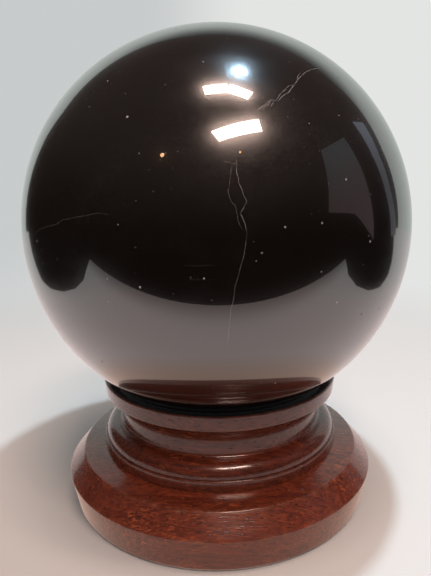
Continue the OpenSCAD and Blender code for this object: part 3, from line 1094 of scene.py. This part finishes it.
class MakeStage(bpy.types.Operator):
    """Make the camera, the lights, the pale table and what the polish reflects"""

    bl_idname = "stone_ball.stage"
    bl_label = "Stage"

    def execute(self, context):
        stage = context.scene.stage_sizes
        make_camera(stage)
        room_world()
        high = stage.light_height
        warm, cool = (1, 0.72, 0.6), (0.78, 0.95, 1)
        over_ball = (0.0457, -0.005, stage.lamp_height)
        ceiling_light("front_strip", place=(0.168, -0.600, high), size=(0.44, 0.15), turn=27.6,
                      radiance=42, tint=warm)
        ceiling_light("near_strip_left", place=(-0.013, -0.155, high), size=(0.160, 0.09), turn=8.6,
                      radiance=46, tint=warm)
        ceiling_light("near_strip_right", place=(0.145, -0.168, high), size=(0.165, 0.09), turn=-18,
                      radiance=46, tint=warm)
        ceiling_light("round_lamp", place=over_ball, size=(0.021,), turn=0, radiance=330,
                      tint=(0.55, 0.8, 1))
        ceiling_light("round_lamp_spread", place=over_ball, size=(0.019,), turn=0, radiance=900,
                      tint=cool, seen=False)
        small_lamp("left_lamp", azimuth=-36.5, elevation=43, distance=1.3, radius=0.022, radiance=8,
                   tint=(1, 0.52, 0.26))
        small_lamp("right_lamp", azimuth=14.5, elevation=46.5, distance=1.3, radius=0.011, radiance=8,
                   tint=(1, 0.56, 0.2))

        bend = [(FLOOR_REACH + FLOOR_BEND * math.sin(a), FLOOR_BEND - FLOOR_BEND * math.cos(a))
                for a in [math.radians(6 * i) for i in range(16)]]
        wall_foot = FLOOR_REACH + FLOOR_BEND
        floor = sweep("floor", [(0.0005, 0), (0.3, 0), *bend, (wall_foot, WALL_TOP)], 96)
        floor.data.materials.append(paper_material())
        floor.visible_glossy = False

        reflected_card("reflected_table", [(x, y, 0) for x, y in TABLE_OUTLINE], table_glow)
        upright = [(x, BACKDROP_DISTANCE, z) for x, z in BACKDROP_OUTLINE]
        reflected_card("reflected_backdrop", upright, backdrop_glow)
        for name, outline in (("left_card", LEFT_OUTLINE), ("right_card", RIGHT_OUTLINE)):
            reflected_card(name, [(x, y, CARD_LIFT) for x, y in outline], dark_glow)
        reflected_card("grey_panel", [in_direction(*way) for way in PANEL_CORNERS], grey_glow)
        reflected_card("blue_edge", [in_direction(*way) for way in EDGE_CORNERS], strip_glow)
        context.scene.view_settings.view_transform = "Standard"
        return {"FINISHED"}


class MakeBall(bpy.types.Operator):
    """Make the polished stone ball"""

    bl_idname = "stone_ball.ball"
    bl_label = "Stone ball"

    def execute(self, context):
        sizes = context.scene.ball_sizes
        ball = ball_mesh("stone_ball", sizes, sizes.cells)
        place_piece(ball, "ball", "black_stone", stone_material(context.scene.finishes), "ball")
        return {"FINISHED"}


class MakeVeins(bpy.types.Operator):
    """Make the hairline veins that run over the ball"""

    bl_idname = "stone_ball.veins"
    bl_label = "Veins"

    def execute(self, context):
        sizes = context.scene.ball_sizes
        mineral = vein_material(context.scene.finishes)
        veins = vein_recipe(sizes, mineral).cook(vein_paths(sizes), "stone_veins")
        place_piece(veins, "ball", "black_stone", mineral)
        return {"FINISHED"}


class MakeSpecks(bpy.types.Operator):
    """Strew small specks and polishing pits over the ball"""

    bl_idname = "stone_ball.specks"
    bl_label = "Specks"

    def execute(self, context):
        sizes = context.scene.ball_sizes
        mineral = speck_material(context.scene.finishes)
        recipe = speck_recipe(sizes, mineral, SPECK_SEED)
        specks = recipe.cook(ball_mesh("speck_ground", sizes, SPECK_CELLS), "stone_specks")
        place_piece(specks, "ball", "black_stone", mineral)
        return {"FINISHED"}


class MakeCup(bpy.types.Operator):
    """Turn the cup: collar, cove, neck, bead, flange and dished seat"""

    bl_idname = "stone_ball.cup"
    bl_label = "Cup"

    def execute(self, context):
        stand = context.scene.stand_sizes
        rings = finish_outline(cup_outline(stand, context.scene.ball_sizes), False, WOOD_STEP)
        cup = turn_on_lathe("turned_cup", rings, stand.segments)
        # the cup is darkened all over as painted shade
        wood = wood_material("cup_hardwood", context.scene.finishes, CUP_BLOCK, CUP_SHADE)
        place_piece(cup, "stand", "cup_wood", wood, "cup")
        return {"FINISHED"}


class MakePlinth(bpy.types.Operator):
    """Turn the plinth: upper face, bevel, side and foot"""

    bl_idname = "stone_ball.plinth"
    bl_label = "Plinth"

    def execute(self, context):
        stand = context.scene.stand_sizes
        rings = finish_outline(plinth_outline(stand, PAD_HIGH.x), True, WOOD_STEP)
        plinth = turn_on_lathe("turned_plinth", rings, stand.segments, closed=True)
        wood = wood_material("plinth_hardwood", context.scene.finishes, PLINTH_BLOCK)
        place_piece(plinth, "stand", "plinth_wood", wood, "plinth")
        return {"FINISHED"}


class MakeSeatRing(bpy.types.Operator):
    """Make the felt ring that the ball rests in, with its loose fibres"""

    bl_idname = "stone_ball.seat_ring"
    bl_label = "Felt ring"

    def execute(self, context):
        ball, stand = context.scene.ball_sizes, context.scene.stand_sizes
        outer, low, top = RING_HIGH.x, RING_LOW.z, RING_HIGH.z
        inner = outer - stand.ring_width
        seat = ball.radius + stand.seat_gap
        angles = [-math.degrees(math.acos(r / seat)) for r in (outer, inner)]
        seat_face = arc(0, ball.height, seat, angles[0], angles[1], 8)
        edge = stand.felt_edge
        outline = [Station(inner, low, edge), Station(outer, low, edge),
                   Station(outer, min(top, seat_face[0].z), edge), *seat_face[1:-1],
                   Station(inner, seat_face[-1].z, edge)]
        rings = finish_outline(outline, True, RING_STEP)
        ring = turn_on_lathe("felt_ring", rings, FELT_SEGMENTS, closed=True)
        felt = felt_material("ring_wool", context.scene.finishes)
        ground = ring.copy()
        ground.data = ring.data.copy()
        context.scene.collection.objects.link(ground)
        recipe = fibre_recipe(stand.fibre_density, stand.fibre_reach, FIBRE_SEED, felt)
        fibres = recipe.cook(ground, "felt_ring_fibres")
        place_piece(ring, "seat_ring", "black_felt", felt, "seat_ring")
        place_piece(fibres, "seat_ring", "black_felt", felt)
        return {"FINISHED"}


class MakeScrew(bpy.types.Operator):
    """Give the hidden screw its brass"""

    bl_idname = "stone_ball.screw"
    bl_label = "Screw"

    def execute(self, context):
        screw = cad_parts["base_screw"]
        screw.data.materials.clear()
        screw.data.materials.append(brass_material(context.scene.finishes))
        return {"FINISHED"}


class MakeBasePad(bpy.types.Operator):
    """Make the felt pad under the plinth"""

    bl_idname = "stone_ball.base_pad"
    bl_label = "Base pad"

    def execute(self, context):
        edge = context.scene.stand_sizes.felt_edge
        outline = [Station(0, PAD_LOW.z), Station(PAD_HIGH.x, PAD_LOW.z, edge),
                   Station(PAD_HIGH.x, PAD_HIGH.z, edge), Station(0, PAD_HIGH.z)]
        pad = turn_on_lathe("felt_pad", finish_outline(outline, False, PAD_STEP), FELT_SEGMENTS)
        place_piece(pad, "stand", "pad_felt", felt_material("pad_wool", context.scene.finishes), "base_pad")
        return {"FINISHED"}


class StoneBallPanel(bpy.types.Panel):
    """Lists what makes the ball and its stand"""

    bl_idname = "VIEW3D_PT_stone_ball"
    bl_label = "Stone Ball"
    bl_space_type = "VIEW_3D"
    bl_region_type = "UI"
    bl_category = "Stone Ball"

    def draw(self, context):
        for maker in MAKERS:
            self.layout.operator(maker.bl_idname)
        for group in ("ball_sizes", "stand_sizes", "finishes", "stage_sizes"):
            box = self.layout.box()
            holder = getattr(context.scene, group)
            for key in holder.bl_rna.properties.keys():
                if key not in {"rna_type", "name"}:
                    box.prop(holder, key)


MAKERS = (MakeStage, MakeBall, MakeVeins, MakeSpecks, MakeCup, MakePlinth, MakeSeatRing, MakeScrew,
          MakeBasePad)
GROUPS = {"ball_sizes": BallSizes, "stand_sizes": StandSizes, "finishes": Finishes,
          "stage_sizes": StageSizes}


def register():
    """Adds the classes and hangs the sizes on the scene."""
    for kind in (*GROUPS.values(), *MAKERS, StoneBallPanel):
        bpy.utils.register_class(kind)
    for key, group in GROUPS.items():
        setattr(bpy.types.Scene, key, PointerProperty(type=group))


def unregister():
    """Takes away what register added."""
    for key in GROUPS:
        delattr(bpy.types.Scene, key)
    for kind in reversed((*GROUPS.values(), *MAKERS, StoneBallPanel)):
        bpy.utils.unregister_class(kind)


def main():
    """Builds every piece."""
    register()
    for maker in MAKERS:
        getattr(bpy.ops.stone_ball, maker.bl_idname.split(".")[1])()


if __name__ == "__main__":
    main()
